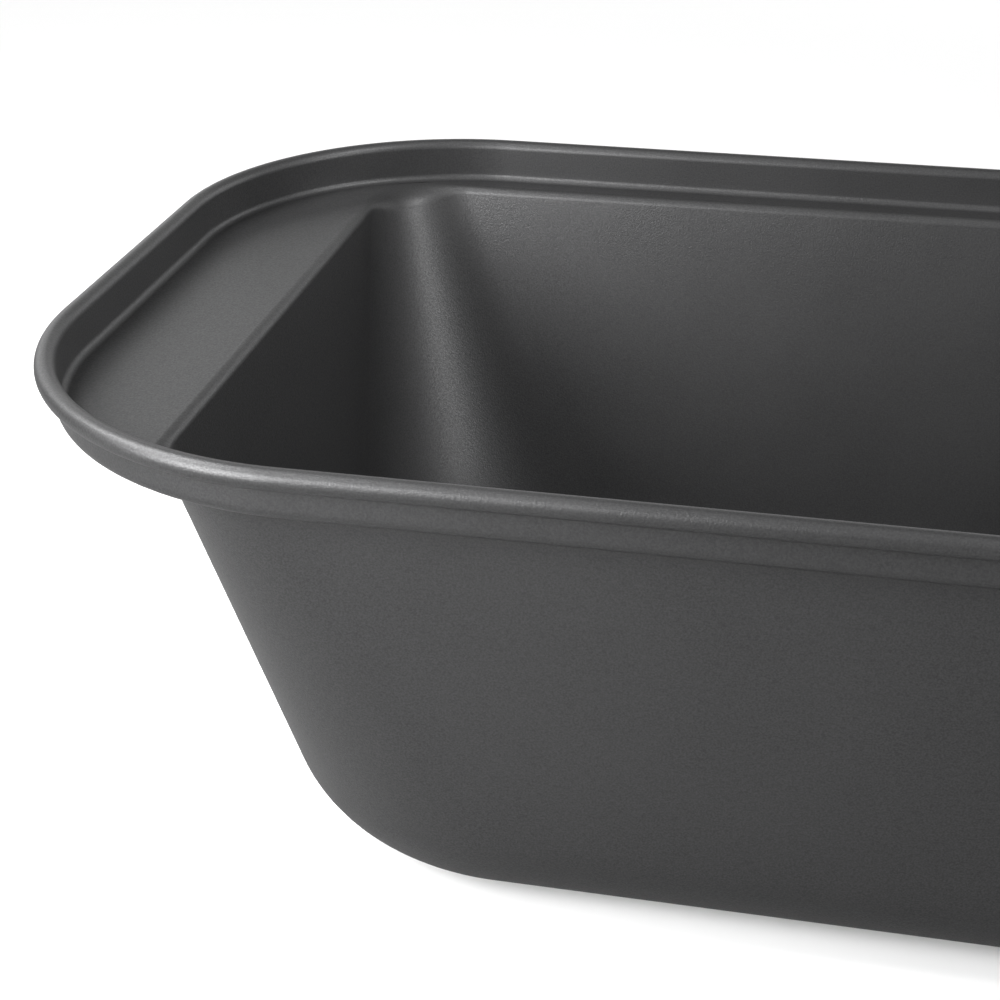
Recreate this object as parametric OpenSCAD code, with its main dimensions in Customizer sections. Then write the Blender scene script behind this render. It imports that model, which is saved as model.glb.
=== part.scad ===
// Loaf pan: one drawn sheet-steel body and a wire closed inside its curled rim.
// From the inside out the body has a flat base, drafted walls, a flat ledge around
// the mouth that is wide at the two ends and narrow along the sides, a short upright
// band, and a round bead curled outward and under around the wire.
// Millimetres. Origin: centre of the underside of the base. +X length, +Z up.

/* [Overall] */
// Length over the rim bead
pan_length = 250; // [205:1:305]
// Width over the rim bead
pan_width = 126.6; // [104:0.1:155]
// Height from the underside of the base to the top of the rim bead
pan_height = 69.3; // [56:0.1:85]
// Plan radius of the rim corners, outside the bead
rim_corner_r = 41.2; // [32:0.1:50]

/* [Sheet and wire] */
// Thickness of the coated sheet
sheet = 0.6; // [0.5:0.05:0.8]
// Diameter of the stiffening wire inside the bead
wire_d = 1.3; // [1:0.05:1.8]
// Radial clearance between the wire and the curled sheet
wire_clearance = 0.05; // [0.02:0.01:0.1]
// Gap between the free edge of the curl and the band it turns back to
curl_gap = 0.15; // [0.1:0.01:0.25]

/* [Rim] */
// Depth from the top of the bead to the top face of the ledge
rim_depth = 6.3; // [5.2:0.1:8]
// Inside radius of the bend between the ledge and the upright band
band_bend_r = 1; // [0.7:0.1:1.4]
// Inside face of the band to the mouth, at the two ends
end_ledge = 19.8; // [14:0.1:25]
// Inside face of the band to the mouth, along the two sides
side_ledge = 4.6; // [3.6:0.1:7]
// Edge break where the ledge turns down into the tub
mouth_break = 0.3; // [0.1:0.05:0.4]

/* [Tub] */
// Plan radius of the mouth corners, inside face
mouth_corner_r = 13; // [10:0.1:17]
// Draft of the end walls, degrees from vertical
end_draft = 6; // [4:0.5:9]
// Draft of the side walls, degrees from vertical
side_draft = 9.5; // [7:0.5:12]
// Outside radius of the fillet between the walls and the base
base_fillet_r = 16.8; // [13:0.1:20.5]
// Plan radius of the corners of the flat base
base_corner_r = 16.9; // [13:0.1:20.5]

/* [Hidden] */
// Outside and inside radius of the bead
bead_r = wire_d / 2 + wire_clearance + sheet;
bore_r = bead_r - sheet;
// Height of the bead centre and of the top face of the ledge
bead_z = pan_height - bead_r;
ledge_z = pan_height - rim_depth;
// Plan of the bead centreline: half length, half width, corner radius
line_x = pan_length / 2 - bead_r;
line_y = pan_width / 2 - bead_r;
line_r = rim_corner_r - bead_r;
// Angle past straight down at which the free edge of the curl stops
curl_end = asin((bore_r - curl_gap) / bead_r);
// Distance from the bead centreline to the end of the ledge bend
bend_in = bead_r + band_bend_r;
// Length of the flat flange swept with the rim, and how far the ledge laps onto it
flange = 0.6;
lap = 0.4;
// Mouth at the top face of the ledge, inside face of the walls: half sizes
mouth_x = line_x - bead_r - end_ledge;
mouth_y = line_y - bead_r - side_ledge;
// Radius of the fillet on the inside face
inner_fillet_r = base_fillet_r - sheet;
// Half sizes of the flat base, placed so that the walls run tangent into the fillet
base_x = mouth_x - (inner_fillet_r + (ledge_z - base_fillet_r) * sin(end_draft)) / cos(end_draft);
base_y = mouth_y - (inner_fillet_r + (ledge_z - base_fillet_r) * sin(side_draft)) / cos(side_draft);
// Growth of the wall corner radius per millimetre of depth below the ledge
corner_flare = (base_corner_r + inner_fillet_r - mouth_corner_r) / (ledge_z - base_fillet_r);
// Thin slice used for the sections that a tub surface is drawn over
slice = 0.01;
// Fillet sections from the wall down to the base
fillet_steps = 10;
// Reach of the tools that only cut
over = 1;
steel = [0.62, 0.63, 0.65];
coated = [0.2, 0.2, 0.21];

// Rectangle with round corners, from its half sizes and corner radius
module round_rect(hx, hy, r) {
  square([2 * hx - 2 * r, 2 * hy], center = true);
  square([2 * hx, 2 * hy - 2 * r], center = true);
  for (sx = [-1, 1]) {
    for (sy = [-1, 1]) {
      translate([sx * (hx - r), sy * (hy - r)]) circle(r);
    }
  }
}

// Sweep a section along the bead centreline: x outward from the line, y up
module around_rim() {
  run_x = 2 * (line_x - line_r);
  run_y = 2 * (line_y - line_r);
  for (turn = [0, 180]) {
    rotate([0, 0, turn]) {
      translate([-run_x / 2, line_y, 0]) rotate([90, 0, 90]) linear_extrude(run_x) children();
      translate([line_x, run_y / 2, 0]) rotate([90, 0, 0]) linear_extrude(run_y) children();
      translate([run_x / 2, run_y / 2, 0]) rotate_extrude(angle = 90) translate([line_r, 0]) children();
      translate([run_x / 2, -run_y / 2, 0]) rotate([0, 0, -90]) rotate_extrude(angle = 90)
        translate([line_r, 0]) children();
    }
  }
}

// Section of the rim: curl, upright band, bend and a short flange of the ledge
module rim_section() {
  translate([0, bead_z]) difference() {
    circle(bead_r);
    circle(bore_r);
    polygon([[0, 0], [-2 * bead_r, 0], [-2 * bead_r, -2 * bead_r],
      [-2 * bead_r * sin(curl_end), -2 * bead_r * cos(curl_end)]]);
  }
  translate([-bead_r, ledge_z + band_bend_r]) square([sheet, bead_z - ledge_z - band_bend_r]);
  translate([-bend_in, ledge_z + band_bend_r]) intersection() {
    difference() {
      circle(band_bend_r + sheet);
      circle(band_bend_r);
    }
    translate([0, -band_bend_r - sheet]) square(band_bend_r + sheet);
  }
  translate([-bend_in - flange, ledge_z - sheet]) square([flange, sheet]);
}

// Half length, half width and corner radius of the tub at height z. face_r is the
// fillet radius of the face: base_fillet_r outside, inner_fillet_r inside.
function tub_x(z, face_r) = base_x + (face_r + (z - base_fillet_r) * sin(end_draft)) / cos(end_draft);
function tub_y(z, face_r) = base_y + (face_r + (z - base_fillet_r) * sin(side_draft)) / cos(side_draft);
function tub_r(z, face_r) = mouth_corner_r + face_r - inner_fillet_r + (ledge_z - z) * corner_flare;

// Solid bounded by one face of the tub, from the base up to height top
module tub_solid(face_r, top) {
  hull() {
    translate([0, 0, top])
      linear_extrude(slice) round_rect(tub_x(top, face_r), tub_y(top, face_r), tub_r(top, face_r));
    for (i = [0:fillet_steps]) {
      a = 90 * i / fillet_steps;
      out = face_r * cos(a);
      translate([0, 0, base_fillet_r - face_r * sin(a)])
        linear_extrude(slice) round_rect(base_x + out, base_y + out, base_corner_r + out);
    }
  }
}

// Edge break around the mouth
module mouth_edge() {
  low = ledge_z - mouth_break;
  hull() {
    translate([0, 0, low])
      linear_extrude(slice) round_rect(mouth_x, mouth_y, mouth_corner_r);
    translate([0, 0, ledge_z + over])
      linear_extrude(slice)
        round_rect(mouth_x + mouth_break + over, mouth_y + mouth_break + over,
          mouth_corner_r + mouth_break + over);
  }
}

module pan_body() {
  color(coated) difference() {
    union() {
      around_rim() rim_section();
      translate([0, 0, ledge_z - sheet]) linear_extrude(sheet)
        round_rect(line_x - bend_in - flange + lap, line_y - bend_in - flange + lap,
          line_r - bend_in - flange + lap);
      tub_solid(base_fillet_r, ledge_z - sheet / 2, $fn = 64);
    }
    tub_solid(inner_fillet_r, ledge_z + over, $fn = 64);
    mouth_edge($fn = 64);
  }
}

module rim_wire() {
  color(steel) around_rim() translate([0, bead_z]) circle(d = wire_d);
}

pan_body();
rim_wire();
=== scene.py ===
"""Loaf pan: smooth meshes of the coated body and the rim wire, coating materials, studio and camera."""
import math

import bpy
import numpy as np
from mathutils import Matrix, Vector


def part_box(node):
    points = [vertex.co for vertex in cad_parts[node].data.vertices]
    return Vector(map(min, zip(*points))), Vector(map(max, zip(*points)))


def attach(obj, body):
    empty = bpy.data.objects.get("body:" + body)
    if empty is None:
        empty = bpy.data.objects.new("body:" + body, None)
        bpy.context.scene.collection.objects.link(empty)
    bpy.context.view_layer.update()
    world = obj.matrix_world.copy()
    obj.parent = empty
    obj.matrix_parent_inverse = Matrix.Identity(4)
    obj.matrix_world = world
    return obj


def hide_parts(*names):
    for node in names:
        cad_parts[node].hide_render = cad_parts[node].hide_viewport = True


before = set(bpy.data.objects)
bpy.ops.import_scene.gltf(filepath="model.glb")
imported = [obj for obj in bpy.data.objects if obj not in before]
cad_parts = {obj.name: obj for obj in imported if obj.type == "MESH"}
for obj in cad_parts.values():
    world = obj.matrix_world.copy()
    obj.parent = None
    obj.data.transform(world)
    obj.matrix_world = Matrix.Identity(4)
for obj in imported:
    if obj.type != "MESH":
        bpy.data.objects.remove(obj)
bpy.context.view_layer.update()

MM = 0.001
low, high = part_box("pan_body")

# Sizes repeated from part.scad, in millimetres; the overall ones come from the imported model
LENGTH, WIDTH, HEIGHT = [round((high[i] - low[i]) / MM, 1) for i in range(3)]
RIM_CORNER_R = 41.2
SHEET = 0.6
WIRE_D = 1.3
WIRE_CLEARANCE = 0.05
CURL_GAP = 0.15
RIM_DEPTH = 6.3
BAND_BEND_R = 1.0
END_LEDGE, SIDE_LEDGE = 19.8, 4.6
MOUTH_CORNER_R = 13.0
END_DRAFT, SIDE_DRAFT = math.radians(6.0), math.radians(9.5)
BASE_FILLET_R, BASE_CORNER_R = 16.8, 16.9
MOUTH_BEND_R, MOUTH_CORNER_BEND_R = 1.4, 5.0

BEAD_R = WIRE_D / 2 + WIRE_CLEARANCE + SHEET
BORE_R = BEAD_R - SHEET
BEAD_Z = HEIGHT - BEAD_R
LEDGE_Z = HEIGHT - RIM_DEPTH
LINE_X, LINE_Y, LINE_R = LENGTH / 2 - BEAD_R, WIDTH / 2 - BEAD_R, RIM_CORNER_R - BEAD_R
MOUTH_X, MOUTH_Y = LINE_X - BEAD_R - END_LEDGE, LINE_Y - BEAD_R - SIDE_LEDGE
INNER_FILLET_R = BASE_FILLET_R - SHEET
BEND_IN = BEAD_R + BAND_BEND_R

# Mesh steps: quarter turns in plan, and arcs and flats along the section of the sheet
ARC = 40
MOUTH_BEND_STEPS, FILLET_STEPS = 12, 18
BAND_BEND_STEPS, CURL_STEPS, BORE_STEPS, WIRE_STEPS = 10, 64, 32, 28
# Shares of the way down a wall, and of the way out from the middle of the base
WALL_SHARES = (0.03, 0.2, 0.4, 0.6, 0.8, 0.97)
BASE_SHARES = (0.85, 0.55, 0.25)
# Heights of the rings on the upright band, in millimetres above its bend
BAND_RINGS = (0.6, 2.0, 2.9)


def base_half(mouth, draft):
    rise = LEDGE_Z - BASE_FILLET_R
    return mouth - (INNER_FILLET_R + rise * math.sin(draft)) / math.cos(draft)


BASE_X, BASE_Y = base_half(MOUTH_X, END_DRAFT), base_half(MOUTH_Y, SIDE_DRAFT)

# Stations around the pan: (corner signs, plan normal). Every ring has one point at each.
stations = []
for quarter, (sx, sy) in enumerate(((1, 1), (-1, 1), (-1, -1), (1, -1))):
    for i in range(ARC + 1):
        a = math.radians(90 * quarter + 90 * i / ARC)
        stations.append((sx, sy, np.array((math.cos(a), math.sin(a)))))


def outline(hx, hy, r, z):
    """A horizontal rounded rectangle, one point at each station."""
    ring = []
    for sx, sy, n in stations:
        ring.append((sx * (hx - r) + r * n[0], sy * (hy - r) + r * n[1], z))
    return np.array(ring)


def rim_ring(x_rel, z):
    return outline(LINE_X + x_rel, LINE_Y + x_rel, LINE_R + x_rel, z)


def arc_points(cx, cz, r, a0, a1, steps):
    """Points of an arc in the rim's section, angles in degrees from outward."""
    return [(cx + r * math.cos(math.radians(a0 + (a1 - a0) * i / steps)),
             cz + r * math.sin(math.radians(a0 + (a1 - a0) * i / steps))) for i in range(steps + 1)]


def wall_frame():
    """For each station: mouth point, unit plan normal, fillet ring centre, local draft and mouth bend."""
    rows = []
    rise = LEDGE_Z - BASE_FILLET_R
    for sx, sy, n in stations:
        mouth_c = np.array((sx * (MOUTH_X - MOUTH_CORNER_R), sy * (MOUTH_Y - MOUTH_CORNER_R)))
        base_c = np.array((sx * (BASE_X - BASE_CORNER_R), sy * (BASE_Y - BASE_CORNER_R)))
        reach = float((mouth_c - base_c) @ n) + MOUTH_CORNER_R - BASE_CORNER_R
        span = math.hypot(reach, rise)
        draft = math.acos(INNER_FILLET_R / span) - math.atan2(rise, reach)
        bend = MOUTH_BEND_R + (MOUTH_CORNER_BEND_R - MOUTH_BEND_R) * (2 * n[0] * n[1]) ** 2
        rows.append((mouth_c + MOUTH_CORNER_R * n, n, base_c + BASE_CORNER_R * n, draft, bend))
    return rows


WALL = wall_frame()


def tub_rings(depth, reverse=False):
    """Rings of one face of the tub, ledge to base. depth is 0 inside, SHEET outside."""
    rings = []
    for k in range(MOUTH_BEND_STEPS + 1):
        ring = []
        for mouth, n, _, draft, bend in WALL:
            s, c = math.sin(draft), math.cos(draft)
            shift = bend * (1 - s) / c
            b = (math.pi / 2 - draft) * k / MOUTH_BEND_STEPS
            out = shift - (bend - depth) * math.sin(b)
            z = LEDGE_Z - bend + (bend - depth) * math.cos(b)
            ring.append((*(mouth + out * n), z))
        rings.append(np.array(ring))
    fillet_r = INNER_FILLET_R + depth
    first = len(rings)
    for k in range(FILLET_STEPS + 1):
        ring = []
        for _, n, base, draft, _ in WALL:
            t = draft + (math.pi / 2 - draft) * k / FILLET_STEPS
            ring.append((*(base + fillet_r * math.cos(t) * n), BASE_FILLET_R - fillet_r * math.sin(t)))
        rings.append(np.array(ring))
    top, bottom = rings[first - 1], rings[first]
    walls = [top + (bottom - top) * u for u in WALL_SHARES]
    rings[first:first] = walls
    edge = outline(BASE_X, BASE_Y, BASE_CORNER_R, rings[-1][0][2])
    for u in BASE_SHARES:
        rings.append(np.array([(x * u, y * u, z) for x, y, z in edge]))
    return rings[::-1] if reverse else rings


def mesh_from_rings(name, rings, caps, closed=False, tick=None):
    """Joins rings into one mesh. Faces that start at a ring in tick take the second material."""
    count = len(stations)
    verts = np.concatenate(rings)
    faces, marks = [], []
    spans = list(zip(range(len(rings)), range(1, len(rings)))) + ([(len(rings) - 1, 0)] if closed else [])
    for a, b in spans:
        for i in range(count):
            j = (i + 1) % count
            faces.append((a * count + i, a * count + j, b * count + j, b * count + i))
            marks.append(1 if tick and a in tick else 0)
    if caps:
        faces.append(tuple(range(count))[::-1])
        faces.append(tuple((len(rings) - 1) * count + i for i in range(count)))
        marks += [0, 0]
    mesh = bpy.data.meshes.new(name)
    mesh.from_pydata([tuple(v * MM) for v in verts], [], faces)
    mesh.update()
    for p, m in zip(mesh.polygons, marks):
        p.use_smooth = True
        p.material_index = m
    obj = bpy.data.objects.new(name, mesh)
    bpy.context.scene.collection.objects.link(obj)
    return obj


def pan_rings():
    """Rings of the sheet, food side from base to free edge and back outside, and the cut edge's ring."""
    end = 180 + 90 - math.degrees(math.asin((BORE_R - CURL_GAP) / BEAD_R))
    rings = tub_rings(0.0, reverse=True)
    inner = [(-BEND_IN, LEDGE_Z)]
    inner += arc_points(-BEND_IN, LEDGE_Z + BAND_BEND_R, BAND_BEND_R, -90, 0, BAND_BEND_STEPS)
    outside = arc_points(-BEND_IN, LEDGE_Z + BAND_BEND_R, BAND_BEND_R + SHEET, -90, 0, BAND_BEND_STEPS)
    curl = arc_points(0, BEAD_Z, BEAD_R, 180, end - 360, CURL_STEPS)
    bore = arc_points(0, BEAD_Z, BORE_R, 180, end - 360, BORE_STEPS)
    section = inner[1:] + [(-BEAD_R, LEDGE_Z + BAND_BEND_R + u) for u in BAND_RINGS] + curl
    section += bore[::-1] + [(-BORE_R, LEDGE_Z + BAND_BEND_R + u) for u in BAND_RINGS[::-1]]
    section += outside[::-1]
    cut = len(rings) + len(inner) - 1 + len(BAND_RINGS) + len(curl) - 1
    rings += [rim_ring(x, z) for x, z in section]
    rings += tub_rings(SHEET)
    return rings, cut


rings, cut_edge = pan_rings()
body = mesh_from_rings("pan_shell", rings, caps=True, tick={cut_edge})

section = arc_points(0, BEAD_Z, WIRE_D / 2, 0, 360, WIRE_STEPS)[:-1]
wire = mesh_from_rings("wire", [rim_ring(x, z) for x, z in section], caps=False, closed=True)

for obj in (body, wire):
    bpy.context.view_layer.objects.active = obj
    obj.select_set(True)
    bpy.ops.object.mode_set(mode="EDIT")
    bpy.ops.mesh.select_all(action="SELECT")
    bpy.ops.mesh.normals_make_consistent(inside=False)
    bpy.ops.object.mode_set(mode="OBJECT")
    obj.select_set(False)
    weighted = obj.modifiers.new("weighted", "WEIGHTED_NORMAL")
    weighted.mode = "FACE_AREA"
    weighted.weight = 50


# ---------------------------------------------------------------- materials
def node(tree, kind, at=(0, 0), **values):
    n = tree.nodes.new(kind)
    n.location = at
    for key, value in values.items():
        if hasattr(n, key):
            setattr(n, key, value)
    return n


def new_material(name):
    m = bpy.data.materials.new(name)
    m.use_nodes = True
    m.node_tree.nodes.clear()
    out = node(m.node_tree, "ShaderNodeOutputMaterial", (900, 0))
    bsdf = node(m.node_tree, "ShaderNodeBsdfPrincipled", (600, 0))
    m.node_tree.links.new(bsdf.outputs[0], out.inputs[0])
    return m, m.node_tree, bsdf


def noise(tree, coords, scale, detail=2.0, rough=0.5):
    n = node(tree, "ShaderNodeTexNoise")
    n.inputs["Scale"].default_value = scale
    n.inputs["Detail"].default_value = detail
    n.inputs["Roughness"].default_value = rough
    tree.links.new(coords, n.inputs["Vector"])
    return n.outputs["Fac"]


def ramp(tree, value, lo, hi, out_lo, out_hi):
    n = node(tree, "ShaderNodeMapRange")
    n.inputs["From Min"].default_value = lo
    n.inputs["From Max"].default_value = hi
    n.inputs["To Min"].default_value = out_lo
    n.inputs["To Max"].default_value = out_hi
    tree.links.new(value, n.inputs["Value"])
    return n.outputs["Result"]


def mix(tree, fac, a, b):
    n = node(tree, "ShaderNodeMix", data_type="RGBA")
    tree.links.new(fac, n.inputs["Factor"])
    for socket, value in ((n.inputs["A"], a), (n.inputs["B"], b)):
        if isinstance(value, tuple):
            socket.default_value = (*value, 1.0)
        else:
            tree.links.new(value, socket)
    return n.outputs["Result"]


def math_node(tree, operation, a, b):
    n = node(tree, "ShaderNodeMath", operation=operation)
    for socket, value in zip(n.inputs, (a, b)):
        if isinstance(value, (int, float)):
            socket.default_value = value
        else:
            tree.links.new(value, socket)
    return n.outputs[0]


# Noise scales, in features per metre, and the coating's colours
CLOUD_SCALE, PEEL_SCALE, GRAIN_SCALE = 26.0, 900.0, 4200.0
COAT_DARK, COAT_PALE, COAT_GRAIN = (0.048, 0.048, 0.049), (0.056, 0.056, 0.057), (0.095, 0.095, 0.096)
PEEL_SHARE, GRAIN_SHARE = 0.4, 1.2
STEEL_DULL_SCALE, STEEL_FINE_SCALE = 160.0, 3200.0


def coating_material():
    """Semi-gloss charcoal non-stick coating: fine metallic grain, orange peel and faint clouding."""
    m, t, bsdf = new_material("coating")
    co = node(t, "ShaderNodeTexCoord", (-1400, 0)).outputs["Object"]
    cloud = noise(t, co, CLOUD_SCALE, 3.0, 0.55)
    peel = noise(t, co, PEEL_SCALE, 2.0, 0.5)
    grain = noise(t, co, GRAIN_SCALE, 1.0, 0.6)
    base = mix(t, ramp(t, cloud, 0.35, 0.65, 0.0, 1.0), COAT_DARK, COAT_PALE)
    base = mix(t, ramp(t, grain, 0.30, 0.70, 0.0, 0.55), base, COAT_GRAIN)
    t.links.new(base, bsdf.inputs["Base Color"])
    rough = math_node(t, "ADD", ramp(t, cloud, 0.3, 0.7, 0.44, 0.49), ramp(t, grain, 0.3, 0.7, 0.03, -0.03))
    t.links.new(rough, bsdf.inputs["Roughness"])
    bump = node(t, "ShaderNodeBump")
    bump.inputs["Strength"].default_value = 0.55
    bump.inputs["Distance"].default_value = 0.00004
    height = math_node(t, "ADD", math_node(t, "MULTIPLY", peel, PEEL_SHARE),
                       math_node(t, "MULTIPLY", grain, GRAIN_SHARE))
    t.links.new(height, bump.inputs["Height"])
    t.links.new(bump.outputs[0], bsdf.inputs["Normal"])
    t.links.new(bump.outputs[0], bsdf.inputs["Coat Normal"])
    bsdf.inputs["Metallic"].default_value = 0.75
    bsdf.inputs["Specular IOR Level"].default_value = 0.4
    bsdf.inputs["Coat Weight"].default_value = 0.1
    bsdf.inputs["Coat Roughness"].default_value = 0.24
    return m


def steel_material(name, base, rough):
    """Bare drawn steel with dull spots and a fine roughness."""
    m, t, bsdf = new_material(name)
    co = node(t, "ShaderNodeTexCoord").outputs["Object"]
    dull = noise(t, co, STEEL_DULL_SCALE, 4.0, 0.6)
    fine = noise(t, co, STEEL_FINE_SCALE, 2.0, 0.5)
    spots = ramp(t, dull, 0.3, 0.7, 0.0, 1.0)
    t.links.new(mix(t, spots, base, tuple(c * 0.72 for c in base)), bsdf.inputs["Base Color"])
    t.links.new(ramp(t, fine, 0.3, 0.7, rough - 0.08, rough + 0.1), bsdf.inputs["Roughness"])
    bsdf.inputs["Metallic"].default_value = 1.0
    bump = node(t, "ShaderNodeBump")
    bump.inputs["Strength"].default_value = 0.2
    bump.inputs["Distance"].default_value = 0.00002
    t.links.new(fine, bump.inputs["Height"])
    t.links.new(bump.outputs[0], bsdf.inputs["Normal"])
    return m


body.data.materials.append(coating_material())
body.data.materials.append(steel_material("cut_edge", (0.45, 0.45, 0.46), 0.4))
wire.data.materials.append(steel_material("drawn_wire", (0.55, 0.55, 0.56), 0.32))

for obj, cad, slot in ((body, "pan_body", "coated_steel"), (wire, "rim_wire", "wire_steel")):
    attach(obj, "root")
    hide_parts(cad)


# ---------------------------------------------------------------- studio
# Floor colour for light on the pan and for the camera; glow near and far, with the distances in metres
FLOOR_CAST, FLOOR_SHOWN = 0.3, 0.88
FLOOR_LIFT_NEAR, FLOOR_LIFT_FAR = 0.1, 0.85
LIFT_FROM, LIFT_TO = 0.35, 1.3
FLOOR_HALF = 12.0
FLOOR_DROP = 0.0002


def floor_material():
    """Pale sweep: shown near white, while it sends only a little light back up at the pan."""
    m, t, bsdf = new_material("sweep")
    seen = node(t, "ShaderNodeLightPath").outputs["Is Camera Ray"]
    t.links.new(mix(t, seen, (FLOOR_CAST,) * 3, (FLOOR_SHOWN,) * 3), bsdf.inputs["Base Color"])
    away = node(t, "ShaderNodeVectorMath", operation="LENGTH")
    t.links.new(node(t, "ShaderNodeTexCoord").outputs["Object"], away.inputs[0])
    lift = ramp(t, away.outputs["Value"], LIFT_FROM, LIFT_TO, FLOOR_LIFT_NEAR, FLOOR_LIFT_FAR)
    t.links.new(math_node(t, "MULTIPLY", seen, lift), bsdf.inputs["Emission Strength"])
    bsdf.inputs["Emission Color"].default_value = (1, 1, 1, 1)
    bsdf.inputs["Roughness"].default_value = 0.6
    bsdf.inputs["Specular IOR Level"].default_value = 0.0
    return m


floor_mesh = bpy.data.meshes.new("floor")
floor_mesh.from_pydata([(x * FLOOR_HALF, y * FLOOR_HALF, 0) for x, y in ((-1, -1), (1, -1), (1, 1), (-1, 1))],
                       [], [(0, 1, 2, 3)])
floor = bpy.data.objects.new("floor", floor_mesh)
floor.data.materials.append(floor_material())
bpy.context.scene.collection.objects.link(floor)
floor.location.z = -FLOOR_DROP


def softbox(name, bearing, rise, reach, size, power, aim=(0.0, 0.0, 0.03)):
    """A soft light reach metres from aim. bearing is in degrees from +Y towards +X, rise is its elevation."""
    b, e = math.radians(bearing), math.radians(rise)
    away = Vector((math.cos(e) * math.sin(b), math.cos(e) * math.cos(b), math.sin(e)))
    data = bpy.data.lights.new(name, "AREA")
    data.shape = "RECTANGLE"
    data.size, data.size_y = size
    data.energy = power
    obj = bpy.data.objects.new(name, data)
    obj.location = Vector(aim) + away * reach
    obj.rotation_euler = (-away).to_track_quat("-Z", "Y").to_euler()
    obj.visible_camera = False
    bpy.context.scene.collection.objects.link(obj)


LEFT_END = (-0.08, 0.0, 0.03)
softbox("front_left", 214, 25, 0.30, (0.18, 0.18), 1.75, LEFT_END)
softbox("left_overhead", 260, 52, 0.36, (0.20, 0.20), 1.6, LEFT_END)
softbox("right", 112, 20, 1.3, (0.34, 0.34), 5.8)
softbox("right_high", 112, 52, 1.3, (0.34, 0.34), 7.0)
softbox("back_left", 315, 17, 1.3, (0.95, 0.75), 3.2)
softbox("back", 0, 17, 1.3, (0.95, 0.75), 2.0)
softbox("back_right", 45, 17, 1.3, (0.95, 0.75), 5.4)
softbox("top", 0, 90, 1.3, (0.90, 0.90), 1.0)

# The room is pale where it is seen, and adds only a little light of its own
ROOM_SEEN, ROOM_CAST = 0.92, 0.08
world = bpy.data.worlds.new("studio")
bpy.context.scene.world = world
world.use_nodes = True
wt = world.node_tree
wt.nodes.clear()
w_out = node(wt, "ShaderNodeOutputWorld", (600, 0))
w_bg = node(wt, "ShaderNodeBackground", (400, 0))
w_ray = node(wt, "ShaderNodeLightPath", (0, 0))
w_bg.inputs["Color"].default_value = (1, 1, 1, 1)
room = ramp(wt, w_ray.outputs["Is Camera Ray"], 0.0, 1.0, ROOM_CAST, ROOM_SEEN)
wt.links.new(room, w_bg.inputs["Strength"])
wt.links.new(w_bg.outputs[0], w_out.inputs[0])

# ---------------------------------------------------------------- camera
# Place in metres and turns in radians, from fitting a camera to the rim, ledge and wall edges of the photo
CAM_PLACE = (-0.02392, -0.23307, 0.15648)
yaw, pitch, roll = -0.2064, 0.4681, 0.0007
cam_data = bpy.data.cameras.new("camera")
cam_data.sensor_width = 36.0
cam_data.lens = 68.66
cam_data.clip_start = 0.01
cam = bpy.data.objects.new("camera", cam_data)
forward = Vector((math.sin(yaw) * math.cos(pitch), math.cos(yaw) * math.cos(pitch), -math.sin(pitch)))
level = Vector((math.cos(yaw), -math.sin(yaw), 0))
upright = level.cross(forward)
right = math.cos(roll) * level + math.sin(roll) * upright
up = -math.sin(roll) * level + math.cos(roll) * upright
turn = Matrix((right, up, -forward)).transposed().to_4x4()
cam.matrix_world = Matrix.Translation(CAM_PLACE) @ turn
bpy.context.scene.collection.objects.link(cam)
bpy.context.scene.camera = cam
bpy.context.scene.view_settings.view_transform = "Standard"
bpy.context.scene.view_settings.look = "None"

bpy.context.view_layer.update()
